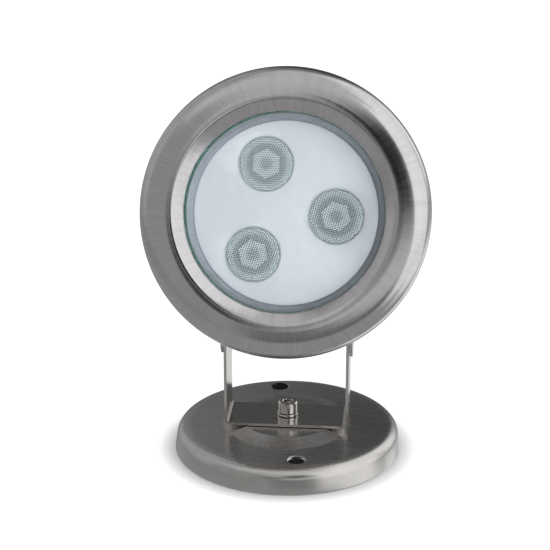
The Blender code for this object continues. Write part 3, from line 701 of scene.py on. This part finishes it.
def build_lens_body(index, place):
    edge = LENS_FRONT + 1.8 * MM
    outline = rounded([(0, LENS_FACE), (LENSLET_REACH, LENS_FACE),
                       (LENSLET_REACH + 0.15 * MM, LENS_FRONT, 0.15 * MM),
                       (LENS_RADIUS, LENS_FRONT, 0.15 * MM), (LENS_RADIUS, edge, 0.1 * MM),
                       (LENS_RADIUS - MM, edge), (9.4 * MM, 21.5 * MM), (7.4 * MM, 25.5 * MM),
                       (4.8 * MM, LENS_REAR), (3.3 * MM, LENS_REAR), (3.3 * MM, 27.2 * MM), (0, 26.6 * MM)])
    turned(f"lens_{index}_body", outline, ACRYLIC, [f"lens_{index}"], place, MEDIUM)


def lenslet_swell(point):
    """Height of the lenslet field at a point, from 0 between lenslets to 1 at a lenslet's middle."""
    rise = LENSLET_PITCH * sqrt(3) / 2
    middle_row = round(point.y / rise)
    distances = []
    for row in (middle_row - 1, middle_row, middle_row + 1):
        column = round(point.x / LENSLET_PITCH - row / 2)
        distances.append((point - Vector(((column + row / 2) * LENSLET_PITCH, row * rise))).length)
    return max(0, 1 - (min(distances) / (LENSLET_PITCH / sqrt(3))) ** 2)


def build_lens_array(index, place):
    """The lens's front face, a hexagonal field of lenslets, on a triangle mesh four times as fine."""
    step = LENSLET_PITCH / 4
    rows = int(LENSLET_REACH / step) + 2
    spots = []
    for row in range(-rows - 4, rows + 5):
        for column in range(-2 * rows, 2 * rows + 1):
            point = Vector(((column + row / 2) * step, row * step * sqrt(3) / 2))
            if point.length > LENSLET_REACH - step / 2:
                if point.length > LENSLET_REACH + step / 2:
                    continue
                point = point.normalized() * LENSLET_REACH
            spots.append(point)
    points, _, faces, *_ = geometry.delaunay_2d_cdt(spots, [], [], 0, step / 50)
    bm = bmesh.new()
    tone = bm.verts.layers.float.new("tone")
    front, back = [], []
    for point in points:
        swell = 0 if point.length > LENSLET_REACH - step / 2 else lenslet_swell(point)
        vert = bm.verts.new((point.x, point.y, LENS_FACE - 0.4 * MM - LENSLET_RISE * swell))
        # Painted light and shade: the collimator's painted bands, and a painted dark dot in the middle of
        # each lenslet.
        bright = lens_painted_light(point.x, point.y)
        dot = smooth(swell, 0.1 + 0.2 * bright, 0.65 + 0.2 * bright)
        vert[tone] = 0.86 + 0.14 * bright - dot
        front.append(vert)
        back.append(bm.verts.new((point.x, point.y, LENS_FACE - 0.02 * MM)))
    for face in faces:
        bm.faces.new([front[corner] for corner in face])
        bm.faces.new([back[corner] for corner in reversed(face)])
    bmesh.ops.bridge_loops(bm, edges=[edge for edge in bm.edges if edge.is_boundary])
    finish_piece(shape(f"lens_{index}_array", bm, place), PAINTED_LENSLETS, [f"lens_{index}"],
                 angle=60)


def build_lens_holder(index, place):
    mouth, cup, rear = 18.8 * MM, 20.3 * MM, 31.25 * MM
    outline = rounded([(12.2 * MM, mouth, 0.2 * MM), (12.2 * MM, cup), (8.4 * MM, 26.5 * MM),
                       (7.6 * MM, rear), (5.6 * MM, rear), (5.6 * MM, 29 * MM), (7.9 * MM, 25.5 * MM),
                       (10.3 * MM, cup), (10.9 * MM, mouth, 0.2 * MM)], closed=True)
    turned(f"lens_holder_{index}_fine", outline, WHITE_PLASTIC,
           [f"lens_holder_{index}"], place, MEDIUM)


def build_lens(index):
    spot = local_centre(f"lens_{index}", LAMP)
    turn = atan2(spot.y, spot.x) + radians(LENS_TURNS[index - 1])
    place = LAMP @ Matrix.Translation(spot) @ Matrix.Rotation(turn, 4, "Z")
    build_lens_body(index, place)
    build_lens_array(index, place)
    build_lens_holder(index, place)


def build_gland():
    body = [(GLAND_BORE, GLAND_INSIDE, 0.3 * MM), (GLAND_THREAD, GLAND_INSIDE, 0.3 * MM),
            (GLAND_THREAD, GLAND_COLLAR), (9.2 * MM, GLAND_COLLAR, 0.4 * MM),
            (9.2 * MM, GLAND_SHOULDER, 0.5 * MM), (GLAND_THREAD, GLAND_SHOULDER),
            (GLAND_THREAD, GLAND_THREAD_END, 0.3 * MM), (GLAND_BORE, GLAND_THREAD_END, 0.3 * MM)]
    turned("gland_body_fine", rounded(body, closed=True), BOLT, ["gland_body"], LAMP, MEDIUM)
    seal_start = GLAND_THREAD_END + GAP
    seal = [(SEAL_BORE, seal_start, EDGE), (SEAL_RADIUS, seal_start, EDGE), (SEAL_RADIUS, SEAL_END, EDGE),
            (SEAL_BORE, SEAL_END, 0.5 * MM)]
    turned("gland_seal_fine", rounded(seal, closed=True), RUBBER, ["gland_seal"], LAMP,
           MEDIUM)
    ring = [(6.9 * MM + x, CAN_REAR + 0.95 * MM + y) for x, y in polygon(0.7 * MM, 16)]
    turned("gland_o_ring_fine", ring, RUBBER, ["gland_o_ring"], LAMP, MEDIUM)
    inside, start, seat = GLAND_THREAD + GAP, GLAND_SHOULDER + GAP, SEAL_END + GAP
    cap = rounded([(inside, start), (GLAND_NUT, start, 0.3 * MM), (GLAND_NUT, 71.5 * MM, MM),
                   (7.6 * MM, 74 * MM, MM), (6.2 * MM, GLAND_END, 0.2 * MM),
                   (GLAND_MOUTH, GLAND_END, 0.3 * MM), (GLAND_MOUTH, seat), (inside, seat)], closed=True)
    nut = shape("gland_nut_fine", lathe(cap, MEDIUM), LAMP)
    deep, half = 0.55 * MM, 20 * MM
    for turn in range(6):
        flat = LAMP @ Matrix.Rotation(turn * pi / 3, 4, "Z") @ Matrix.Translation((GLAND_NUT, 0, 0))
        block = [(-deep, -half), (deep * 4, -half), (deep * 4, half), (-deep, half)]
        carve(nut, shape("tool", prism(block, start + MM, 70 * MM), flat))
    finish_piece(nut, BOLT, ["gland_nut"], bevel=0.1 * MM)


build_base()
build_bracket()
build_hardware()
build_ring()
build_glass()
build_can()
build_ears()
build_plate()
for lens in (1, 2, 3):
    build_lens(lens)
build_gland()

# Every CAD node takes its slot's look, and those that no finer piece replaces are seen
LOOKS = {"brushed_stainless": CAN_STEEL, "bolt_steel": BOLT, "tempered_glass": GLASS,
         "lens_acrylic": ACRYLIC, "black_rubber": RUBBER, "pale_silicone": SILICONE, "satin_plate": SATIN,
         "black_plastic": BLACK_PLASTIC, "white_plastic": WHITE_PLASTIC, "bare_aluminium": ALUMINIUM,
         "brass": BRASS, "board_green": BOARD, "led_phosphor": PHOSPHOR, "coil_ferrite": FERRITE,
         "capacitor_sleeve": SLEEVE, "wire_red": WIRE_RED, "wire_black": WIRE_BLACK}
for subpart in frame["record"]["subparts"]:
    mesh = frame["nodes"][subpart["node"]].data
    mesh.materials.clear()
    mesh.materials.append(LOOKS[subpart["material_slot"]])


# ---------------------------------------------------------------- studio

# Soft boxes and dark flags that the metal reflects: azimuth and its half width (0 faces the lamp,
# 90 is to its right), elevation and its half height, softness, brightness. Angles are in degrees.
CARDS = (
    (0, 180, 70, 26, 7, 0.82),
    (180, 75, 52, 15, 10, 0.26),
    (-135, 25, 30, 30, 10, 0.60),
    (-92, 14, 45, 45, 8, 0.62),
    (184, 21, -10, 22, 8, 0.12),
    (175, 20, -26, 8, 4, 1.00),
    (183, 22, 27, 13, 5, 0.06),
    (-157, 14, 27, 14, 8, 0.34),
    (142, 9, 24, 12, 5, 1.30),
    (85, 26, 18, 50, 10, 1.40),
    (125, 25, 50, 25, 10, 1.30),
    (-70, 50, -12, 8, 5, 0.40),
    (133, 14, -20, 50, 6, 1.40),
    (52, 20, 26, 30, 4, 1.45),
    (18, 18, 6, 9, 3, 0.80),
    (62, 26, -9, 9, 5, 1.30),
    (125, 26, -9, 9, 6, 0.58),
    (10, 22, -8, 7, 4, 0.22),
    (-10, 10, 37, 8, 5, 0.78),
    (15, 14, 31, 10.5, 4, 0.0),
    (-12.5, 5.5, 13, 8, 3, 0.04),
)


def blend_level(tree, factor, level, other):
    return node(tree, "ShaderNodeMix", [(0, factor), (2, level), (3, other)], data_type="FLOAT").outputs[0]


def build_world():
    world = bpy.data.worlds.new("studio")
    bpy.context.scene.world = world
    world.use_nodes = True
    tree = world.node_tree
    tree.nodes.clear()
    direction = node(tree, "ShaderNodeTexCoord").outputs["Generated"]
    x, y, z = node(tree, "ShaderNodeSeparateXYZ", [("Vector", direction)]).outputs
    turned_from_front = math(tree, "ARCTAN2", x, math(tree, "MULTIPLY", y, -1.0))
    azimuth = math(tree, "MULTIPLY", turned_from_front, 180 / pi)
    elevation = math(tree, "MULTIPLY", math(tree, "ARCSINE", z), 180 / pi)
    level = ROOM_LEVEL
    for turn, half_turn, height, half_height, soft, bright in CARDS:
        aside = math(tree, "WRAP", math(tree, "SUBTRACT", azimuth, turn), 180.0, -180.0)
        above = math(tree, "SUBTRACT", elevation, height)
        masks = [node(tree, "ShaderNodeMapRange",
                      [("Value", math(tree, "ABSOLUTE", value)), ("From Min", half + soft),
                       ("From Max", half - soft)], interpolation_type="SMOOTHSTEP").outputs[0]
                 for value, half in ((aside, half_turn), (above, half_height))]
        level = blend_level(tree, math(tree, "MULTIPLY", *masks), level, bright)
    side = node(tree, "ShaderNodeVectorMath", [(0, direction), (1, LAMP_LIGHT)],
                operation="DOT_PRODUCT").outputs["Value"]
    through_glass = spread(tree, side, LAMP_LIGHT_LOW, LAMP_LIGHT_HIGH, 0.1, 0.95)
    paths = node(tree, "ShaderNodeLightPath").outputs
    for ray, other in (("Is Transmission Ray", through_glass), ("Is Diffuse Ray", MATT_LEVEL),
                       ("Is Camera Ray", BACKDROP_LEVEL)):
        level = blend_level(tree, paths[ray], level, other)
    background = node(tree, "ShaderNodeBackground", [("Strength", level)])
    output = node(tree, "ShaderNodeOutputWorld")
    tree.links.new(background.outputs[0], output.inputs["Surface"])


def build_floor():
    bm = bmesh.new()
    bmesh.ops.create_circle(bm, cap_ends=True, radius=6.0, segments=64)
    floor = shape("floor", bm, Matrix.Translation((0, 0, -0.05 * MM)))
    look, tree, shader = surface("floor", (0.93, 0.93, 0.93), 0.9)
    shader.inputs["Emission Color"].default_value = (1, 1, 1, 1)
    away = node(tree, "ShaderNodeVectorMath", [(0, node(tree, "ShaderNodeTexCoord").outputs["Object"])],
                operation="LENGTH").outputs["Value"]
    glow = node(tree, "ShaderNodeMapRange", [("Value", away), ("From Min", BASE_RADIUS),
                                             ("From Max", 1.15 * BASE_RADIUS), ("To Max", 0.45)])
    tree.links.new(glow.outputs[0], shader.inputs["Emission Strength"])
    floor.data.materials.append(look)
    floor.visible_glossy = False


def build_camera():
    right = Vector((cos(CAMERA_AZIMUTH), sin(CAMERA_AZIMUTH), 0))
    forward = Vector((-sin(CAMERA_AZIMUTH) * cos(CAMERA_ELEVATION),
                      cos(CAMERA_AZIMUTH) * cos(CAMERA_ELEVATION), -sin(CAMERA_ELEVATION)))
    data = bpy.data.cameras.new("camera")
    data.lens = CAMERA_LENS
    data.sensor_width = 36
    data.clip_start = 0.01
    camera = bpy.data.objects.new("camera", data)
    camera.location = right * AIM_SIDE + Vector((0, 0, AIM_HEIGHT)) - forward * CAMERA_DISTANCE
    camera.rotation_euler = forward.to_track_quat("-Z", "Y").to_euler()
    bpy.context.scene.collection.objects.link(camera)
    bpy.context.scene.camera = camera


build_world()
build_floor()
build_camera()
bpy.context.scene.view_settings.view_transform = "Standard"
bpy.context.scene.view_settings.look = "None"
